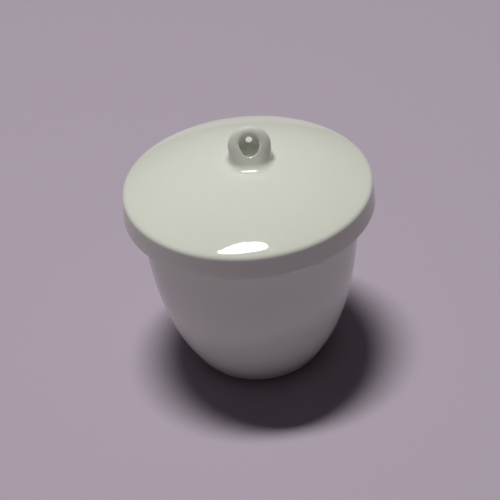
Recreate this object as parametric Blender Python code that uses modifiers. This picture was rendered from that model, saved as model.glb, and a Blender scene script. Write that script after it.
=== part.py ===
"""A porcelain crucible: a turned cup, and a lid made of a domed cap with a small loop on its crown.

Metres, +Z up. The origin is the centre of the cup's foot, on the surface that the crucible stands on.
The lid is modelled around the centre of the cup's rim, where its empty sits, so it lifts along the cup's axis.
"""

import math

import bmesh
import bpy

# The cup. Below BOWL_HEIGHT its outside curves in to the foot; above, it leans out in a straight line to the rim.
# The inside curves in from a lower height, so the wall thickens towards the foot.
CUP_HEIGHT = 0.0405
RIM_RADIUS = 0.0228
WALL_LEAN = 0.0627
WALL_THICKNESS = 0.0019
RIM_ROUNDING = 0.00085
BOWL_HEIGHT = 0.0350
BOWL_INSET = 0.0063
BOWL_POWER = 3.28
FOOT_ROUNDING = 0.0011
FLOOR_THICKNESS = 0.0028
INSIDE_HEIGHT = 0.0300
INSIDE_POWER = 3.0

# The lid's cap: a spherical dome with a short skirt, which hangs down outside the rim and flares a little.
DOME_RADIUS = 0.0605
CAP_THICKNESS = 0.0023
SKIRT_TOP_RADIUS = 0.02505
SKIRT_FOOT_RADIUS = 0.0256
SKIRT_DEPTH = 0.0052
SKIRT_THICKNESS = 0.0016
SKIRT_TOP_ROUNDING = 0.0005
SKIRT_FOOT_ROUNDING = 0.0005
SKIRT_INSIDE_ROUNDING = 0.0007
ROUNDING_LEAD = 0.0009

# The loop: an upright arched lug, round-edged and much thicker towards its foot. A bowl is hollowed out of each
# face, and the two bowls meet in a small hole along Y. It was stuck on by hand, a little to one side of the crown.
LOOP_WIDTH = 0.0085
LOOP_HEIGHT = 0.0071
LOOP_TOP_DEPTH = 0.0018
LOOP_FOOT_DEPTH = 0.0080
LOOP_EDGE_ROUNDING = 0.0016
LOOP_OFF_CENTRE = 0.0010
LOOP_SUNK = 0.0010
HOLE_RADIUS = 0.00065
HOLE_HEIGHT = 0.0040
BOWL_SPHERE_RADIUS = 0.0022

# Clearance between pieces that touch on the real object.
GAP = 0.0003

TURNED_STEPS = 64
MERGE_DISTANCE = 0.00001

PORCELAIN_COLOUR = (0.86, 0.87, 0.82, 1.0)
PORCELAIN_ROUGHNESS = 0.12


def clear_scene():
    for obj in list(bpy.data.objects):
        bpy.data.objects.remove(obj, do_unlink=True)


def new_collection(name):
    collection = bpy.data.collections.new(name)
    bpy.context.scene.collection.children.link(collection)
    return collection


def porcelain(name):
    material = bpy.data.materials.new(name)
    material.use_nodes = True
    shader = material.node_tree.nodes["Principled BSDF"]
    shader.inputs["Base Color"].default_value = PORCELAIN_COLOUR
    shader.inputs["Roughness"].default_value = PORCELAIN_ROUGHNESS
    shader.inputs["Metallic"].default_value = 0.0
    material.diffuse_color = PORCELAIN_COLOUR
    return material


def arc(centre, radius, start, end, steps):
    """Points on a circle in the X-Z plane, from one angle to another, both included."""
    angles = (start + (end - start) * step / steps for step in range(steps + 1))
    return [(centre[0] + radius * math.cos(angle), centre[1] + radius * math.sin(angle)) for angle in angles]


def fillet(before, corner, after, radius, steps=3):
    """The arc that rounds a corner between two straight lines."""
    angle_in = math.atan2(before[1] - corner[1], before[0] - corner[0])
    angle_out = math.atan2(after[1] - corner[1], after[0] - corner[0])
    opening = math.remainder(angle_out - angle_in, math.tau)
    middle = angle_in + opening / 2
    reach = radius / abs(math.sin(opening / 2))
    centre = (corner[0] + reach * math.cos(middle), corner[1] + reach * math.sin(middle))
    turn = math.copysign(math.pi / 2, opening)
    start = angle_in - turn
    end = start + math.remainder(angle_out + turn - start, math.tau)
    return arc(centre, radius, start, end, steps)


def turned(name, outline, collection, material):
    """A solid of revolution about Z. Its outline starts and ends on the axis and runs down the outer side."""
    mesh = bpy.data.meshes.new(name)
    edges = [(index, index + 1) for index in range(len(outline) - 1)]
    mesh.from_pydata([(x, 0.0, z) for x, z in outline], edges, [])
    obj = bpy.data.objects.new(name, mesh)
    collection.objects.link(obj)
    if material:
        mesh.materials.append(material)
    screw = obj.modifiers.new("Turn", "SCREW")
    screw.axis = "Z"
    screw.angle = math.tau
    screw.steps = TURNED_STEPS
    screw.render_steps = TURNED_STEPS
    screw.use_merge_vertices = True
    screw.merge_threshold = MERGE_DISTANCE
    screw.use_smooth_shade = True
    return obj


def straight_wall(z):
    """The radius of the cup's upper wall, carried on down to the foot."""
    return RIM_RADIUS - WALL_LEAN * (CUP_HEIGHT - z)


def outer_wall(z):
    below = max(0.0, 1 - z / BOWL_HEIGHT)
    return straight_wall(z) - BOWL_INSET * below**BOWL_POWER


def inner_wall(z):
    """The inside is a smooth bowl: level at the middle of its floor and upright where it meets the upper wall."""
    below = max(0.0, 1 - (z - FLOOR_THICKNESS) / (INSIDE_HEIGHT - FLOOR_THICKNESS))
    return (straight_wall(z) - WALL_THICKNESS) * (1 - below**INSIDE_POWER) ** (1 / INSIDE_POWER)


def heights(lowest, highest, steps, crowding):
    """Heights from the lowest to the highest, closer together at the bottom."""
    return [lowest + (highest - lowest) * (step / steps) ** crowding for step in range(steps + 1)]


def cup_outline():
    inside = [(inner_wall(z), z) for z in heights(FLOOR_THICKNESS, INSIDE_HEIGHT, steps=11, crowding=2.6)]
    outside = [(outer_wall(z), z) for z in heights(FOOT_ROUNDING, BOWL_HEIGHT, steps=9, crowding=1.3)]
    inner_edge = (inner_wall(CUP_HEIGHT), CUP_HEIGHT)
    outer_edge = (RIM_RADIUS, CUP_HEIGHT)
    foot_edge = (outer_wall(0.0), 0.0)
    rim = fillet(inside[-1], inner_edge, outer_edge, RIM_ROUNDING)
    rim += fillet(inner_edge, outer_edge, outside[-1], RIM_ROUNDING)
    foot = fillet(outside[0], foot_edge, (0.0, 0.0), FOOT_ROUNDING)
    return inside + rim + outside[:0:-1] + foot + [(0.0, 0.0)]


def dome_centre():
    """The height of the dome's centre above the rim, which the cap's underside meets at the rim's outer shoulder."""
    shoulder = RIM_RADIUS - RIM_ROUNDING
    reach = DOME_RADIUS - CAP_THICKNESS - GAP - RIM_ROUNDING
    return -RIM_ROUNDING - math.sqrt(reach**2 - shoulder**2)


def on_dome(radius, x):
    """The point at a distance x from the axis on a sphere about the dome's centre."""
    return (x, dome_centre() + math.sqrt(radius**2 - x**2))


def dome_arc(radius, end_x, steps):
    """Points on a sphere about the dome's centre, from the crown out to a distance from the axis."""
    centre = (0.0, dome_centre())
    return [(0.0, centre[1] + radius)] + arc(centre, radius, math.pi / 2, math.acos(end_x / radius), steps)[1:]


def cap_outline():
    under_radius = DOME_RADIUS - CAP_THICKNESS
    outer_top = on_dome(DOME_RADIUS, SKIRT_TOP_RADIUS)
    inner_top = on_dome(under_radius, SKIRT_TOP_RADIUS - SKIRT_THICKNESS)
    outer_foot = (SKIRT_FOOT_RADIUS, outer_top[1] - SKIRT_DEPTH)
    inner_foot = (SKIRT_FOOT_RADIUS - SKIRT_THICKNESS, outer_foot[1])
    dome_end = on_dome(DOME_RADIUS, outer_top[0] - ROUNDING_LEAD)
    underside_end = on_dome(under_radius, inner_top[0] - ROUNDING_LEAD)

    shoulder = fillet(dome_end, outer_top, outer_foot, SKIRT_TOP_ROUNDING)
    skirt = fillet(outer_top, outer_foot, inner_foot, SKIRT_FOOT_ROUNDING)
    skirt += fillet(outer_foot, inner_foot, inner_top, SKIRT_FOOT_ROUNDING)
    inside_corner = fillet(inner_foot, inner_top, underside_end, SKIRT_INSIDE_ROUNDING)
    dome = dome_arc(DOME_RADIUS, dome_end[0], steps=9)
    underside = dome_arc(under_radius, underside_end[0], steps=9)
    return dome + shoulder + skirt + inside_corner + underside[::-1]


def foot_cutter_outline():
    """The space that the loop's foot keeps clear: the dome and its clearance, under the crown."""
    top = dome_arc(DOME_RADIUS + GAP, LOOP_WIDTH, steps=8)
    floor = top[-1][1] - 3 * LOOP_SUNK
    return top + [(top[-1][0], floor), (0.0, floor)]


def hole_cutter_outline():
    """Two spheres side by side, joined where they cut each other in a circle as wide as the hole."""
    offset = math.sqrt(BOWL_SPHERE_RADIUS**2 - HOLE_RADIUS**2)
    waist = math.asin(HOLE_RADIUS / BOWL_SPHERE_RADIUS)
    upper = arc((0.0, offset), BOWL_SPHERE_RADIUS, math.pi / 2, waist - math.pi / 2, 14)
    lower = arc((0.0, -offset), BOWL_SPHERE_RADIUS, math.pi / 2 - waist, -math.pi / 2, 14)
    return upper + lower[1:]


def add_outline(curve, points):
    spline = curve.splines.new("POLY")
    spline.points.add(len(points) - 1)
    for point, (x, y) in zip(spline.points, points):
        point.co = (x, y, 0.0, 1.0)
    spline.use_cyclic_u = True


def loop_curve(collection):
    """The lug's front view as a flat outline, whose bevel makes a plate with fully rounded edges."""
    half = LOOP_WIDTH / 2
    arch = arc((0.0, LOOP_HEIGHT - half), half, 0.0, math.pi, 20)
    sides = [(-half, -LOOP_SUNK - LOOP_EDGE_ROUNDING), (half, -LOOP_SUNK - LOOP_EDGE_ROUNDING)]

    curve = bpy.data.curves.new("lid_loop_outline", "CURVE")
    curve.dimensions = "2D"
    curve.fill_mode = "BOTH"
    curve.bevel_depth = LOOP_EDGE_ROUNDING
    curve.bevel_resolution = 4
    curve.offset = -LOOP_EDGE_ROUNDING
    add_outline(curve, sides + arch)
    obj = bpy.data.objects.new("lid_loop_outline", curve)
    collection.objects.link(obj)
    return obj


def thicken_to_foot(mesh):
    """Gives the lug its depth, which grows evenly from its top to its foot. Y is up the lug and Z across it."""
    for vertex in mesh.vertices:
        down = 1 - vertex.co.y / LOOP_HEIGHT
        depth = LOOP_TOP_DEPTH + (LOOP_FOOT_DEPTH - LOOP_TOP_DEPTH) * down
        vertex.co.z *= depth / 2 / LOOP_EDGE_ROUNDING


def mesh_from_curve(outline, name, collection, material):
    """Replaces a curve object with a closed mesh object in the same place."""
    bpy.context.view_layer.update()
    evaluated = outline.evaluated_get(bpy.context.evaluated_depsgraph_get())
    mesh = bpy.data.meshes.new_from_object(evaluated)
    mesh.name = name
    shape = bmesh.new()
    shape.from_mesh(mesh)
    bmesh.ops.remove_doubles(shape, verts=shape.verts, dist=MERGE_DISTANCE)
    bmesh.ops.recalc_face_normals(shape, faces=shape.faces)
    shape.to_mesh(mesh)
    shape.free()
    mesh.shade_smooth()
    mesh.set_sharp_from_angle(angle=math.radians(40))
    mesh.materials.clear()
    mesh.materials.append(material)

    obj = bpy.data.objects.new(name, mesh)
    obj.matrix_world = outline.matrix_world
    collection.objects.link(obj)
    bpy.data.objects.remove(outline, do_unlink=True)
    return obj


def cut(obj, cutter):
    cutter.hide_render = True
    cutter.display_type = "WIRE"
    boolean = obj.modifiers.new("Cut", "BOOLEAN")
    boolean.operation = "DIFFERENCE"
    boolean.solver = "EXACT"
    boolean.object = cutter


def build_cup(parts):
    turned("crucible_cup", cup_outline(), parts, porcelain("cup_glaze"))


def build_lid(parts, cutters):
    """The cap and its loop hang from an empty at the centre of the rim, on the axis that the lid lifts along."""
    lid = bpy.data.objects.new("lid_on_rim", None)
    lid.location = (0.0, 0.0, CUP_HEIGHT)
    lid.empty_display_size = RIM_RADIUS
    parts.objects.link(lid)

    cap = turned("lid_cap", cap_outline(), parts, porcelain("cap_glaze"))
    cap.parent = lid

    outline = loop_curve(parts)
    outline.rotation_euler = (math.pi / 2, 0.0, 0.0)
    outline.location = (LOOP_OFF_CENTRE, 0.0, dome_centre() + DOME_RADIUS)
    loop = mesh_from_curve(outline, "lid_loop", parts, porcelain("loop_glaze"))
    thicken_to_foot(loop.data)
    loop.parent = lid
    foot_cutter = turned("loop_foot_cutter", foot_cutter_outline(), cutters, None)
    foot_cutter.parent = lid
    cut(loop, foot_cutter)
    hole_cutter = turned("loop_hole_cutter", hole_cutter_outline(), cutters, None)
    hole_cutter.parent = loop
    hole_cutter.location = (0.0, HOLE_HEIGHT, 0.0)
    cut(loop, hole_cutter)


def main():
    clear_scene()
    parts = new_collection("porcelain_crucible")
    cutters = new_collection("cutters")
    build_cup(parts)
    build_lid(parts, cutters)
    bpy.context.view_layer.update()


main()
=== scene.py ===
"""The looks of a small porcelain crucible with its lid on: cup, cap and the loop luted onto it.

Metres, +Z up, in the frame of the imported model. Each CAD node is replaced by a fine mesh of the
same size. The cup and the cap are turned from outlines whose glaze ends in a thin bead beside bare
clay. The loop is the surface of a smooth distance field that flows into the dome it stands on.
"""

import math

import bpy
import numpy as np
from mathutils import Matrix, Vector


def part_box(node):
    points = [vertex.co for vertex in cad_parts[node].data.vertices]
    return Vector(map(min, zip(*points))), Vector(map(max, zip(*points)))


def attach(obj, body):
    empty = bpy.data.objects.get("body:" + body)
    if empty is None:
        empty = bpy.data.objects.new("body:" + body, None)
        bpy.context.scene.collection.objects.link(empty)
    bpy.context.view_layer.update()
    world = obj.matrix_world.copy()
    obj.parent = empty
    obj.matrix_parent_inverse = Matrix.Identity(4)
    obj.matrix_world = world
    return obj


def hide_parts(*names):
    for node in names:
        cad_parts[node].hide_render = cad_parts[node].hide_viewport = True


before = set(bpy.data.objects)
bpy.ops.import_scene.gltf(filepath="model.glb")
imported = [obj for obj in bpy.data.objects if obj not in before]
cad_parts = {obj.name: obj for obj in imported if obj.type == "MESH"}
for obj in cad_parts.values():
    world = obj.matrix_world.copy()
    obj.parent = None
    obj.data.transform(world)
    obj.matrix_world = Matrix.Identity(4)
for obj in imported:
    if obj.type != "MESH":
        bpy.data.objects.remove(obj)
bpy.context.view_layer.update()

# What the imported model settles.
CUP_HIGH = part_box("crucible_cup")[1]
CAP_LOW, CAP_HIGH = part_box("lid_cap")
LOOP_LOW, LOOP_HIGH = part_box("lid_loop")
CUP_HEIGHT = CUP_HIGH.z
RIM_RADIUS = CUP_HIGH.x
CROWN = CAP_HIGH.z
SKIRT_FOOT = CAP_LOW.z
LID_RADIUS = CAP_HIGH.x

# The cup's form. Below BOWL_HEIGHT its outside curves in to the foot, and below INSIDE_HEIGHT its
# inside is round.
WALL_LEAN = 0.0627
WALL_THICKNESS = 0.0018
RIM_ROUNDING = 0.00085
BOWL_HEIGHT = 0.0350
BOWL_INSET = 0.0063
BOWL_POWER = 3.28
FOOT_ROUNDING = 0.0011
FLOOR_THICKNESS = 0.0028
INSIDE_HEIGHT = 0.0300
INSIDE_POWER = 3.0

# The cap's form: a spherical dome with a short skirt.
DOME_RADIUS = 0.0605
CAP_THICKNESS = 0.0023
SKIRT_FLARE = 0.0005
SKIRT_THICKNESS = 0.0016
SHOULDER_ROUNDING = 0.0005
SKIRT_FOOT_ROUNDING = 0.0005
SKIRT_INSIDE_ROUNDING = 0.0007
ROUNDING_LEAD = 0.0011
EDGE_DROP = 0.00005

# The loop's form: an upright arched lug, much thicker towards its foot, with a bowl hollowed out
# of each face and a hole where the two bowls meet. FOOT_KEPT is how much of the foot's fillet is
# kept: the last of it would only lie on the dome. The loop is meshed in cells of LOOP_CELL, with a
# little room above and below.
LOOP_CENTRE = (LOOP_LOW.x + LOOP_HIGH.x) / 2
LOOP_HALF_WIDTH = (LOOP_HIGH.x - LOOP_LOW.x) / 2
LOOP_HEIGHT = LOOP_HIGH.z - CROWN
LOOP_TOP_HALF_DEPTH = 0.00125
LOOP_FOOT_HALF_DEPTH = LOOP_HIGH.y
LOOP_TOP_ROUNDING = 0.0021
LOOP_FOOT_ROUNDING = 0.00345
LOOP_SPREAD = 1.05
HOLE_RADIUS = 0.00058
HOLE_HEIGHT = 0.0042
BOWL_HALF_WIDTH = 0.0020
BOWL_HALF_HEIGHT = 0.0022
BOWL_HALF_DEPTH = 0.0015
BOWL_DROOP = 0.6
HOLE_BLEND = 0.0002
LIP_BLEND = 0.0010
FOOT_BLEND = 0.0011
FOOT_KEPT = 0.98
FOOT_FEATHER = 0.00002
FOOT_SUNK = 0.0003
THUMB_MARKS = 0.00004
LOOP_CELL = 0.00013
LOOP_ROOM_BELOW = 0.0020
LOOP_ROOM_ABOVE = 0.0003

# The glaze: its thickness, the bead that it ends in, and how far it was wiped back before firing.
# It rises from the clay to its full height over GLAZE_EDGE_SHARE of the bead's width.
GLAZE_THICKNESS = 0.00006
GLAZE_BEAD = 0.00005
BARE_DEPTH = GLAZE_THICKNESS + GLAZE_BEAD
GLAZE_BEAD_WIDTH = 0.0005
GLAZE_EDGE_SHARE = 0.3
GLAZE_LINE_WANDER = 0.00012
RIM_WIPE = 0.0005
FOOT_WIPE = 0.0013
SKIRT_WIPE = 0.0005

# How finely the turned pieces are meshed, and how uneven hand and kiln left them.
OUTLINE_POINTS = 300
SAME_POINT = 1e-8
TURNED_STEPS = 224
FINE_SPACING = 0.00005
COARSE_SPACING = 0.0006
SPACING_GROWTH = 0.2
OUT_OF_ROUND = 0.00007
THREE_LOBED_SHARE = 0.45
WAVINESS = 0.00003
FINER_WAVES_SHARE = 0.6

# Colours, as linear red, green and blue, and alpha.
GLAZE_DARKER = (0.80, 0.812, 0.745, 1.0)
GLAZE_LIGHTER = (0.835, 0.845, 0.785, 1.0)
SPECK_BROWN = (0.30, 0.25, 0.18, 1.0)
CLAY_DARKER = (0.70, 0.68, 0.60, 1.0)
CLAY_LIGHTER = (0.80, 0.79, 0.72, 1.0)
DIRT_BROWN = (0.42, 0.37, 0.30, 1.0)
FLOOR_LILAC = (0.49, 0.42, 0.53, 1.0)
STUDIO_AIR = (1.0, 0.92, 1.0, 1.0)

FLOOR_HALF_WIDTH = 1.5

# The camera looks at the middle of the lid's edge, then turns so that the object sits a little
# high in the frame. Its angles are in degrees, and its lens is in millimetres.
AIM_HEIGHT = 0.0420
CAMERA_DISTANCE = 0.2200
CAMERA_ELEVATION = 34.395
CAMERA_PAN = 0.147
CAMERA_TILT = -3.589
CAMERA_ROLL = 4.778
CAMERA_LENS = 79.33


# ---------------------------------------------------------------- outlines
# An outline is a row of points, each a distance from the axis and a height.

def arc(centre, radius, start, end, steps=24):
    angles = np.linspace(start, end, steps + 1)
    across = centre[0] + radius * np.cos(angles)
    up = centre[1] + radius * np.sin(angles)
    return np.stack([across, up], axis=1)


def fillet(before, corner, after, radius):
    """The arc that rounds a corner between two straight lines."""
    angle_in = math.atan2(before[1] - corner[1], before[0] - corner[0])
    angle_out = math.atan2(after[1] - corner[1], after[0] - corner[0])
    opening = math.remainder(angle_out - angle_in, math.tau)
    middle = angle_in + opening / 2
    reach = radius / abs(math.sin(opening / 2))
    centre = (corner[0] + reach * math.cos(middle), corner[1] + reach * math.sin(middle))
    turn = math.copysign(math.pi / 2, opening)
    start = angle_in - turn
    end = start + math.remainder(angle_out + turn - start, math.tau)
    return arc(centre, radius, start, end)


def straight_wall(z):
    """The radius of the cup's upper wall, carried on down to the foot."""
    return RIM_RADIUS - WALL_LEAN * (CUP_HEIGHT - z)


def outer_wall(z):
    return straight_wall(z) - BOWL_INSET * np.maximum(0.0, 1 - z / BOWL_HEIGHT) ** BOWL_POWER


def inner_wall(z):
    below = np.maximum(0.0, 1 - (z - FLOOR_THICKNESS) / (INSIDE_HEIGHT - FLOOR_THICKNESS))
    return (straight_wall(z) - WALL_THICKNESS) * (1 - below**INSIDE_POWER) ** (1 / INSIDE_POWER)


def cup_outline():
    """From the middle of the floor, up inside, over the rim, down outside and under the foot.

    The foot is bare, so its outline is a little low and its clay lies on the ground. The inside's
    points are closest together low down, where it is nearly flat.
    """
    rise = np.linspace(0, 1, OUTLINE_POINTS) ** 3
    inside_z = FLOOR_THICKNESS + (INSIDE_HEIGHT - FLOOR_THICKNESS) * rise
    outside_z = np.linspace(BOWL_HEIGHT, FOOT_ROUNDING - BARE_DEPTH, OUTLINE_POINTS)
    inside = np.stack([inner_wall(inside_z), inside_z], axis=1)
    outside = np.stack([outer_wall(outside_z), outside_z], axis=1)
    inner_edge = (inner_wall(CUP_HEIGHT), CUP_HEIGHT)
    outer_edge = (RIM_RADIUS, CUP_HEIGHT)
    foot_edge = (outer_wall(-BARE_DEPTH), -BARE_DEPTH)
    return np.concatenate([
        inside,
        fillet(inside[-1], inner_edge, outer_edge, RIM_ROUNDING),
        fillet(inner_edge, outer_edge, outside[0], RIM_ROUNDING),
        outside,
        fillet(outside[-1], foot_edge, (0.0, -BARE_DEPTH), FOOT_ROUNDING),
        [(0.0, -BARE_DEPTH)],
    ])


def on_dome(radius, x):
    """The point at a distance x from the axis on a sphere about the dome's centre."""
    return (x, CROWN - DOME_RADIUS + math.sqrt(radius**2 - x**2))


def dome_arc(radius, end_x):
    centre = (0.0, CROWN - DOME_RADIUS)
    return arc(centre, radius, math.pi / 2, math.acos(end_x / radius), steps=200)


def cap_outline():
    """From the crown, down the dome, round the skirt's foot, up inside it and back to the axis."""
    under_radius = DOME_RADIUS - CAP_THICKNESS
    outer_top = on_dome(DOME_RADIUS, LID_RADIUS - SKIRT_FLARE)
    inner_top = on_dome(under_radius, outer_top[0] - SKIRT_THICKNESS)
    outer_foot = (LID_RADIUS, SKIRT_FOOT)
    inner_foot = (LID_RADIUS - SKIRT_THICKNESS, SKIRT_FOOT)
    outer_edge = (outer_top[0], outer_top[1] - EDGE_DROP)
    dome_end = on_dome(DOME_RADIUS, outer_top[0] - ROUNDING_LEAD)
    underside_end = on_dome(under_radius, inner_top[0] - ROUNDING_LEAD)
    return np.concatenate([
        dome_arc(DOME_RADIUS, dome_end[0]),
        fillet(dome_end, outer_edge, outer_foot, SHOULDER_ROUNDING),
        fillet(outer_edge, outer_foot, inner_foot, SKIRT_FOOT_ROUNDING),
        fillet(outer_foot, inner_foot, inner_top, SKIRT_FOOT_ROUNDING),
        fillet(inner_foot, inner_top, underside_end, SKIRT_INSIDE_ROUNDING),
        dome_arc(under_radius, underside_end[0])[::-1],
    ])


# ---------------------------------------------------------------- turned pieces

def lengths_along(outline):
    """The outline without repeated points, and how far along it each point is."""
    gaps = np.linalg.norm(np.diff(outline, axis=0), axis=1)
    outline = outline[np.concatenate([[True], gaps > SAME_POINT])]
    gaps = np.linalg.norm(np.diff(outline, axis=0), axis=1)
    return outline, np.concatenate([[0.0], np.cumsum(gaps)])


def crossings(outline, along, height):
    """How far along the outline it passes a height, once for each time that it does."""
    above = outline[:, 1] > height
    return along[:-1][above[1:] != above[:-1]]


def meshing_places(along, lines):
    """Places along an outline for its vertices, close together beside the glaze's edges."""
    apart = np.min([np.abs(along - line) for line in lines], axis=0)
    wanted = FINE_SPACING + SPACING_GROWTH * np.maximum(0.0, apart - GLAZE_BEAD_WIDTH)
    spacing = np.minimum(wanted, COARSE_SPACING)
    count = np.concatenate([[0.0], np.cumsum(np.diff(along) / (spacing[1:] + spacing[:-1]) * 2)])
    return np.interp(np.linspace(0.0, count[-1], int(count[-1]) + 2), count, along)


def glaze_relief(inside):
    """How high the skin stands over its outline, from how far it is inside the glaze's edge."""
    edge = np.clip(inside / (GLAZE_EDGE_SHARE * GLAZE_BEAD_WIDTH), 0.0, 1.0)
    rise = np.sqrt(1 - (1 - edge) ** 2)
    bead = np.exp(-((2 * inside / GLAZE_BEAD_WIDTH - 1) ** 2))
    return rise * (GLAZE_THICKNESS + GLAZE_BEAD * bead) - BARE_DEPTH


def out_of_round(angle, phase):
    """How far a turned wall lies inside its true circle, in two lobes and three."""
    most = 1 + THREE_LOBED_SHARE
    lobes = np.cos(2 * angle + phase) + THREE_LOBED_SHARE * np.cos(3 * angle - 2 * phase)
    return OUT_OF_ROUND * (most + lobes) / (2 * most)


def waviness(x, y):
    """How far the skin lies inside its true surface, in waves of 2 to 4 cm."""
    most = 1 + FINER_WAVES_SHARE
    wave = np.sin(210 * x + 1.3) * np.cos(170 * y - 0.4)
    wave = wave + FINER_WAVES_SHARE * np.sin(330 * y + 150 * x)
    return WAVINESS * (most + wave) / (2 * most)


def glaze_line_wander(angle, phase):
    """How far the glaze's edge strays as it goes round, because it was wiped back by hand."""
    wander = np.sin(3 * angle + phase) + 0.6 * np.sin(7 * angle - phase) + 0.4 * np.sin(19 * angle)
    return GLAZE_LINE_WANDER * wander / 2


def turned(name, outline, bare_spans, phase):
    """A closed mesh of revolution from an outline that starts and ends on the axis.

    Faces on bare clay take material 1.
    """
    outline, along = lengths_along(outline)
    spans = bare_spans(outline, along)
    places = meshing_places(along, [end for span in spans for end in span])
    radius = np.interp(places, along, outline[:, 0])
    height = np.interp(places, along, outline[:, 1])
    slope = np.stack([np.gradient(radius, places), np.gradient(height, places)])
    slope /= np.linalg.norm(slope, axis=0)

    angle = np.linspace(0.0, math.tau, TURNED_STEPS, endpoint=False)
    beyond = [np.abs(places - (start + end) / 2) - (end - start) / 2 for start, end in spans]
    inside = np.min(beyond, axis=0)[:, None] + glaze_line_wander(angle, phase)
    radius, height = radius[:, None], height[:, None]
    outward, upward = slope[0][:, None], slope[1][:, None]
    relief = glaze_relief(inside) - waviness(radius * np.cos(angle), radius * np.sin(angle))
    far = (radius - upward * relief) * (1 - out_of_round(angle, phase) / LID_RADIUS)
    high = height + outward * relief
    rings = np.stack([far * np.cos(angle), far * np.sin(angle), high], axis=-1)[1:-1]
    first = (0.0, 0.0, high[0].mean())
    last = (0.0, 0.0, high[-1].mean())

    here = np.arange(TURNED_STEPS)
    beside = (here + 1) % TURNED_STEPS
    row = np.arange(len(rings) - 1)[:, None] * TURNED_STEPS
    next_row = row + TURNED_STEPS
    quads = np.stack([row + here, next_row + here, next_row + beside, row + beside], axis=-1)
    sides = list(zip(here.tolist(), beside.tolist()))
    first_point = len(rings) * TURNED_STEPS
    last_point = first_point + 1
    last_ring = first_point - TURNED_STEPS
    first_fan = [(first_point, a, b) for a, b in sides]
    last_fan = [(last_point, last_ring + b, last_ring + a) for a, b in sides]
    bare = (inside[1:-2] + inside[2:-1]) < 0
    first_bare = [bool(inside[0, 0] < 0)] * TURNED_STEPS
    last_bare = [bool(inside[-1, 0] < 0)] * TURNED_STEPS

    vertices = rings.reshape(-1, 3).tolist() + [first, last]
    faces = quads.reshape(-1, 4).tolist() + first_fan + last_fan
    which = bare.ravel().tolist() + first_bare + last_bare
    return new_piece(name, vertices, faces, [int(value) for value in which])


def new_piece(name, vertices, faces, which=None):
    mesh = bpy.data.meshes.new(name)
    mesh.from_pydata(vertices, [], faces)
    mesh.materials.append(GLAZE)
    mesh.materials.append(BARE_CLAY)
    if which:
        mesh.polygons.foreach_set("material_index", which)
    mesh.shade_smooth()
    obj = bpy.data.objects.new(name, mesh)
    bpy.context.scene.collection.objects.link(obj)
    return obj


def cup_bare_spans(outline, along):
    """The top of the rim and the whole of the foot."""
    rim_in, rim_out = crossings(outline, along, CUP_HEIGHT - RIM_WIPE)
    foot = crossings(outline, along, FOOT_WIPE)[-1]
    return [(rim_in, rim_out), (foot, 2 * along[-1])]


def cap_bare_spans(outline, along):
    """The foot of the skirt, which the lid stood on in the kiln."""
    down, up = crossings(outline, along, SKIRT_FOOT + SKIRT_WIPE)
    return [(down, up)]


# ---------------------------------------------------------------- the loop

def smooth_min(a, b, reach):
    blend = np.maximum(reach - np.abs(a - b), 0.0) / reach
    return np.minimum(a, b) - blend**2 * reach / 4


def above_dome(point):
    """The distance above the cap's skin."""
    centre = np.array([0.0, 0.0, CROWN - DOME_RADIUS])
    skin = DOME_RADIUS - GLAZE_BEAD - waviness(point[..., 0], point[..., 1])
    return np.linalg.norm(point - centre, axis=-1) - skin


def lug(point):
    """The lug by itself: a wedge with round edges and an arched top, less its two bowls.

    The bowls' lips are sharper low down, and thumb marks lie faintly all over it.
    """
    x = point[..., 0] - LOOP_CENTRE
    y = point[..., 1]
    z = point[..., 2] - CROWN
    down = np.maximum(0.0, 1 - z / LOOP_HEIGHT)
    depth = np.hypot(LOOP_TOP_HALF_DEPTH, LOOP_FOOT_HALF_DEPTH * down**LOOP_SPREAD)
    widening = np.minimum(down, 1.0)
    round_edge = LOOP_TOP_ROUNDING + (LOOP_FOOT_ROUNDING - LOOP_TOP_ROUNDING) * widening
    beyond = np.hypot(x, np.maximum(z - (LOOP_HEIGHT - LOOP_HALF_WIDTH), 0.0)) - LOOP_HALF_WIDTH
    wedge = np.hypot(np.maximum(beyond + round_edge, 0.0), y * round_edge / depth) - round_edge

    aside = x * BOWL_HALF_HEIGHT / BOWL_HALF_WIDTH
    across = np.hypot(aside, z - HOLE_HEIGHT + BOWL_DROOP * np.abs(y))
    deepen = BOWL_HALF_HEIGHT / BOWL_HALF_DEPTH
    out = math.sqrt((BOWL_HALF_HEIGHT + HOLE_BLEND / 4) ** 2 - HOLE_RADIUS**2)
    back = np.hypot(across, y * deepen - out)
    front = np.hypot(across, y * deepen + out)
    bowls = smooth_min(back, front, HOLE_BLEND) - BOWL_HALF_HEIGHT
    marks = np.sin(900 * x + 1.0) * np.sin(800 * z) * np.cos(500 * y + 0.5)
    lip = LIP_BLEND * np.clip(z / HOLE_HEIGHT, 0.5, 1.0) ** 3
    return -smooth_min(-wedge, bowls, lip) + THUMB_MARKS * (1 + marks) / 2


def luted_loop(point):
    """The lug flowing into the dome, and under it down to a shallow buried foot."""
    clear = above_dome(point)
    alone = lug(point)
    joined = smooth_min(alone, clear + FOOT_FEATHER, FOOT_BLEND)
    return np.max([joined, -clear - FOOT_SUNK, alone - FOOT_KEPT * FOOT_BLEND], axis=0)


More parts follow.
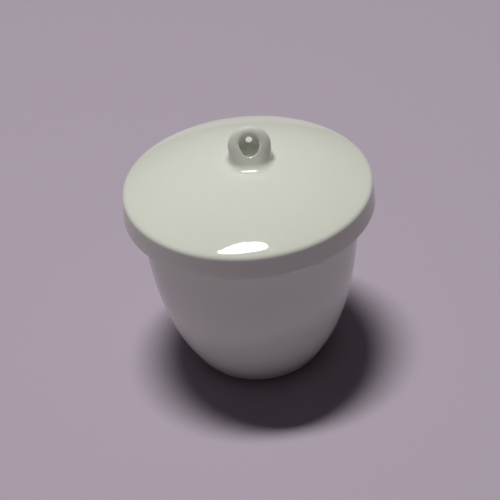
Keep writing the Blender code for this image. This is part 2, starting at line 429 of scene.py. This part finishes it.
def surface_net(field, low, high, cell):
    """The surface where a field is zero: a vertex in each grid cell that it passes, and quads."""
    counts = np.ceil((high - low) / cell).astype(int) + 1
    grid = np.stack(np.meshgrid(*[np.arange(count) for count in counts], indexing="ij"), axis=-1)
    values = field(low + cell * grid)
    total = np.zeros((*(counts - 1), 3))
    hits = np.zeros(counts - 1, dtype=int)
    rings = []
    for axis, along in enumerate(np.eye(3, dtype=int)):
        side = np.roll(along, 1)
        other = np.roll(along, 2)
        here = np.argwhere(np.diff(values < 0, axis=axis))
        first = values[tuple(here.T)]
        second = values[tuple((here + along).T)]
        points = low + cell * (here + along * (first / (first - second))[:, None])
        ring = np.stack([here, here - side, here - side - other, here - other], axis=1)
        ring[first > 0] = ring[first > 0][:, ::-1]
        for corner in range(4):
            np.add.at(total, tuple(ring[:, corner].T), points)
            np.add.at(hits, tuple(ring[:, corner].T), 1)
        rings.append(ring.reshape(-1, 3))
    used = hits > 0
    number = np.cumsum(used.ravel()).reshape(used.shape) - 1
    quads = number[tuple(np.concatenate(rings).T)].reshape(-1, 4)
    return total[used] / hits[used][:, None], quads


def settled(field, points, quads, rounds=6, pulls=3, nudge=1e-6, least_steepness=0.05):
    """The vertices evened out along the surface, and pulled back onto it down the field's slope."""
    neighbours = np.concatenate([quads, np.roll(quads, 1, axis=1)]).ravel()
    owners = np.concatenate([np.roll(quads, 1, axis=1), quads]).ravel()
    counts = np.bincount(owners, minlength=len(points))[:, None]
    nudges = nudge * np.eye(3)
    for _ in range(rounds):
        sums = np.zeros_like(points)
        np.add.at(sums, owners, points[neighbours])
        points = sums / counts
        for _ in range(pulls):
            rises = [field(points + step) - field(points - step) for step in nudges]
            slope = np.stack(rises, axis=-1) / (2 * nudge)
            steepness = np.maximum((slope**2).sum(-1), least_steepness)[:, None]
            points = points - field(points)[:, None] * slope / steepness
    return points


def loop():
    """The luted loop as a mesh, from a box with room for its fillet."""
    reach = 2 * FOOT_BLEND
    low = np.array([LOOP_LOW.x - reach, LOOP_LOW.y - reach, CROWN - LOOP_ROOM_BELOW])
    high = np.array([LOOP_HIGH.x + reach, LOOP_HIGH.y + reach, LOOP_HIGH.z + LOOP_ROOM_ABOVE])
    points, quads = surface_net(luted_loop, low, high, LOOP_CELL)
    points = settled(luted_loop, points, quads)
    return new_piece("lid_loop_porcelain", points.tolist(), quads.tolist())


# ---------------------------------------------------------------- materials

# A Mix node's colour sockets, by their place, since its number sockets have the same names.
MIX_A, MIX_B, MIX_RESULT = 6, 7, 2


class Nodes:
    """A new Principled material, with short ways to add nodes to it.

    Textures take the piece's own coordinates.
    """

    def __init__(self, name):
        self.material = bpy.data.materials.new(name)
        self.material.use_nodes = True
        self.tree = self.material.node_tree
        self.shader = self.tree.nodes["Principled BSDF"]
        self.place = self.add("ShaderNodeTexCoord").outputs["Object"]

    def add(self, kind, settings=None, **inputs):
        """A node with its settings, and its inputs by name: a value, or another node's output."""
        node = self.tree.nodes.new(kind)
        for key, value in (settings or {}).items():
            setattr(node, key, value)
        for key, value in inputs.items():
            self.put(node.inputs[key.replace("_", " ")], value)
        return node

    def put(self, socket, value):
        if isinstance(value, bpy.types.NodeSocket):
            self.tree.links.new(value, socket)
        else:
            socket.default_value = value

    def shade(self, **inputs):
        for key, value in inputs.items():
            self.put(self.shader.inputs[key.replace("_", " ")], value)

    def noise(self, scale, detail=2.0, roughness=0.5):
        node = self.add(
            "ShaderNodeTexNoise", Vector=self.place, Scale=scale, Detail=detail, Roughness=roughness
        )
        return node.outputs["Fac"]

    def ramp(self, value, low, high, low_out=0.0, high_out=1.0):
        """value carried smoothly from one range to another, and held at its ends."""
        node = self.add(
            "ShaderNodeMapRange", {"interpolation_type": "SMOOTHSTEP"},
            Value=value, From_Min=low, From_Max=high, To_Min=low_out, To_Max=high_out,
        )
        return node.outputs["Result"]

    def math(self, operation, a, b):
        node = self.add("ShaderNodeMath", {"operation": operation})
        self.put(node.inputs[0], a)
        self.put(node.inputs[1], b)
        return node.outputs["Value"]

    def mix(self, factor, a, b):
        node = self.add("ShaderNodeMix", {"data_type": "RGBA"})
        self.put(node.inputs["Factor"], factor)
        self.put(node.inputs[MIX_A], a)
        self.put(node.inputs[MIX_B], b)
        return node.outputs[MIX_RESULT]

    def spots(self, scale, share, radius):
        """1 in small round spots, one in each chosen cell of a jumbled grid, and 0 elsewhere."""
        cells = self.add("ShaderNodeTexVoronoi", Vector=self.place, Scale=scale)
        lot = self.add("ShaderNodeSeparateColor", Color=cells.outputs["Color"]).outputs["Red"]
        chosen = self.math("LESS_THAN", lot, share)
        near = self.ramp(cells.outputs["Distance"], radius * scale, 0.5 * radius * scale)
        return self.math("MULTIPLY", chosen, near)

    def bump(self, height, distance, below=None):
        """Relief on top of another normal. A negative distance sinks it."""
        node = self.add("ShaderNodeBump", Height=height, Distance=distance)
        if below:
            self.put(node.inputs["Normal"], below)
        return node.outputs["Normal"]


def porcelain_glaze():
    """Clear, glossy feldspar glaze over a white body, with slow clouds and rare specks.

    Its skin has a little orange peel and scattered pits, and finer pinholes in patches.
    """
    nodes = Nodes("porcelain_glaze")
    clouds = nodes.noise(90.0, detail=3.0)
    white = nodes.mix(clouds, GLAZE_DARKER, GLAZE_LIGHTER)
    specks = nodes.spots(scale=420.0, share=0.05, radius=0.00012)
    colour = nodes.mix(nodes.math("MULTIPLY", specks, 0.45), white, SPECK_BROWN)
    roughness = nodes.ramp(nodes.noise(350.0), 0.3, 0.7, low_out=0.24, high_out=0.32)

    peel = nodes.bump(nodes.noise(800.0), distance=0.000004)
    pits = nodes.spots(scale=700.0, share=0.1, radius=0.00018)
    pitted = nodes.bump(pits, distance=-0.00006, below=peel)
    pinholes = nodes.spots(scale=1000.0, share=0.6, radius=0.0003)
    patches = nodes.ramp(nodes.noise(75.0), 0.44, 0.54)
    pinholes = nodes.math("MULTIPLY", pinholes, patches)
    skin = nodes.bump(pinholes, distance=-0.00007, below=pitted)
    nodes.shade(
        Base_Color=colour, Roughness=roughness, IOR=1.5, Specular_IOR_Level=0.0, Normal=peel,
        Subsurface_Weight=0.12, Subsurface_Scale=0.0012, Subsurface_Radius=(1.0, 0.9, 0.7),
        Coat_Weight=1.0, Coat_Roughness=0.03, Coat_IOR=1.5, Coat_Normal=skin,
    )
    return nodes.material


def bare_clay():
    """Unglazed fired body: matt, a touch warmer and finely gritty, with a little dirt rubbed in."""
    nodes = Nodes("bare_clay")
    clay = nodes.mix(nodes.noise(700.0, detail=4.0), CLAY_DARKER, CLAY_LIGHTER)
    rubbed = nodes.noise(260.0, detail=5.0, roughness=0.65)
    dirt = nodes.ramp(rubbed, 0.56, 0.75, low_out=0.0, high_out=0.4)
    grit = nodes.bump(nodes.noise(6000.0), distance=0.00003)
    nodes.shade(
        Base_Color=nodes.mix(dirt, clay, DIRT_BROWN), Roughness=0.85, IOR=1.45, Normal=grit,
        Subsurface_Weight=0.1, Subsurface_Scale=0.0010, Subsurface_Radius=(1.0, 0.9, 0.7),
    )
    return nodes.material


def pale_floor():
    nodes = Nodes("pale_floor")
    nodes.shade(Base_Color=FLOOR_LILAC, Roughness=0.8)
    return nodes.material


# ---------------------------------------------------------------- floor, light and camera

def floor():
    mesh = bpy.data.meshes.new("floor")
    half = FLOOR_HALF_WIDTH
    corners = [(-half, -half, 0), (half, -half, 0), (half, half, 0), (-half, half, 0)]
    mesh.from_pydata(corners, [], [(0, 1, 2, 3)])
    mesh.materials.append(pale_floor())
    obj = bpy.data.objects.new("floor", mesh)
    bpy.context.scene.collection.objects.link(obj)


def area_light(name, location, target, size, turn, power, colour):
    """An oval softbox that faces its target.

    Its first width lies along X until it is turned about its own axis, in degrees.
    """
    light = bpy.data.lights.new(name, "AREA")
    light.shape = "ELLIPSE"
    light.size, light.size_y = size
    light.energy = power
    light.color = colour
    obj = bpy.data.objects.new(name, light)
    back = (Vector(location) - Vector(target)).normalized()
    upward = back.cross(Vector((1.0, 0.0, 0.0))).normalized()
    facing = Matrix((upward.cross(back), upward, back)).transposed()
    aim = facing @ Matrix.Rotation(math.radians(turn), 3, "Z")
    obj.matrix_world = Matrix.Translation(location) @ aim.to_4x4()
    bpy.context.scene.collection.objects.link(obj)


def lights():
    """The key makes the lid's wide highlight and the cup's shadow, and the fill is faint."""
    area_light(
        "key", location=(-0.086, 0.115, 1.242), target=(0.0, 0.0, 0.04), size=(0.41, 0.135),
        turn=6.0, power=11.4, colour=(1.0, 1.0, 0.94),
    )
    area_light(
        "fill", location=(-0.9, -0.3, 0.6), target=(0.0, 0.0, 0.03), size=(0.7, 0.7),
        turn=0.0, power=0.1, colour=(1.0, 0.94, 1.0),
    )
    world = bpy.data.worlds.new("studio")
    world.use_nodes = True
    background = world.node_tree.nodes["Background"]
    background.inputs["Color"].default_value = STUDIO_AIR
    background.inputs["Strength"].default_value = 0.03
    bpy.context.scene.world = world


def camera():
    elevation = math.radians(CAMERA_ELEVATION)
    data = bpy.data.cameras.new("camera")
    data.lens = CAMERA_LENS
    data.clip_start = 0.01
    obj = bpy.data.objects.new("camera", data)
    offset = CAMERA_DISTANCE * Vector((0.0, -math.cos(elevation), math.sin(elevation)))
    turn = Matrix.Rotation(math.pi / 2 - elevation, 4, "X")
    for degrees, axis in ((CAMERA_PAN, "Y"), (CAMERA_TILT, "X"), (-CAMERA_ROLL, "Z")):
        turn = turn @ Matrix.Rotation(math.radians(degrees), 4, axis)
    obj.matrix_world = Matrix.Translation(Vector((0.0, 0.0, AIM_HEIGHT)) + offset) @ turn
    bpy.context.scene.collection.objects.link(obj)
    bpy.context.scene.camera = obj


# ---------------------------------------------------------------- the scene

GLAZE = porcelain_glaze()
BARE_CLAY = bare_clay()

camera()
lights()
floor()
for piece, body, node in (
    (turned("cup_porcelain", cup_outline(), cup_bare_spans, phase=0.7), "crucible", "crucible_cup"),
    (turned("lid_cap_porcelain", cap_outline(), cap_bare_spans, phase=2.1), "lid", "lid_cap"),
    (loop(), "lid", "lid_loop"),
):
    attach(piece, body)
    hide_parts(node)

bpy.context.scene.view_settings.view_transform = "Standard"
